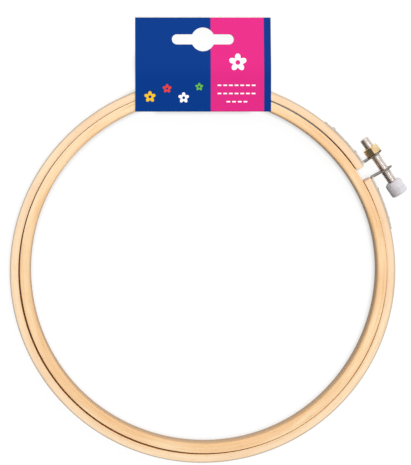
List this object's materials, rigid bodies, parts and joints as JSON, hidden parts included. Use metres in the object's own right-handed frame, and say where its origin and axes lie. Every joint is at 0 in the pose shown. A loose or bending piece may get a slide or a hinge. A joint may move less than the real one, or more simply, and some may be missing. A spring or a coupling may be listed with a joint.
{
  "type": "embroidery hoop",
  "caption": "Round wooden embroidery hoop: a closed inner ring in a split outer ring with a screw clamp, under a folded header card with a hanging slot.",
  "frame": {"origin": "centre of the two hoops at mid-height", "axes": "+Z along the hoops' axis, towards the front of the header card; +Y from the centre to the header card; the clamp is 32 degrees round from +X towards +Y"},
  "size_m": [0.1622, 0.1826, 0.0098],
  "materials": {
    "outer_wood": "sanded, unvarnished bamboo",
    "inner_wood": "sanded, unvarnished bamboo",
    "lug_steel": "zinc-plated strip",
    "tack_steel": "zinc-plated",
    "screw_steel": "bright rolled thread",
    "knob_metal": "satin turned",
    "nut_brass": "bright turned",
    "card": "printed and coated"
  },
  "bodies": {
    "outer_hoop": {"outer_ring": "outer_wood", "nut_lug": "lug_steel", "screw_lug": "lug_steel", "nut_lug_tacks": "tack_steel", "screw_lug_tacks": "tack_steel"},
    "inner_hoop": {"inner_ring": "inner_wood"},
    "thumb_screw": {"clamp_screw": "screw_steel", "thumb_knob": "knob_metal"},
    "nut": {"clamp_nut": "nut_brass"},
    "card_back": {"header_card_back": "card"},
    "card_front": {"header_card_front": "card"}
  },
  "joints": [
    {"name": "inner_ring_lift", "type": "slide", "parent": "outer_hoop", "child": "inner_hoop", "axis": [0, 0, 1], "range_m": [0, 0.03]},
    {"name": "header_card_slide", "type": "hinge", "parent": "outer_hoop", "child": "card_back", "pos_m": [0, 0, 0], "axis": [0, 0, 1], "range_deg": [-29, 270]},
    {"name": "front_leaf_open", "type": "hinge", "parent": "card_back", "child": "card_front", "pos_m": [0, 0.10363, 0], "axis": [-1, 0, 0], "range_deg": [0, 95.5]},
    {"name": "screw_turn", "type": "hinge", "parent": "outer_hoop", "child": "thumb_screw", "pos_m": [0.07014, 0.04784, 0], "axis": [0.5635, -0.8261, 0], "range_deg": [0, 2160]},
    {"name": "nut_travel", "type": "slide", "parent": "outer_hoop", "child": "nut", "axis": [-0.5635, 0.8261, 0], "range_m": [0, 0.0042]}
  ],
  "couplings": [
    {"joint": "front_leaf_open", "follows": "inner_ring_lift", "rad_per_m": 55.5},
    {"joint": "screw_turn", "follows": "nut_travel", "rad_per_m": 8976}
  ]
}
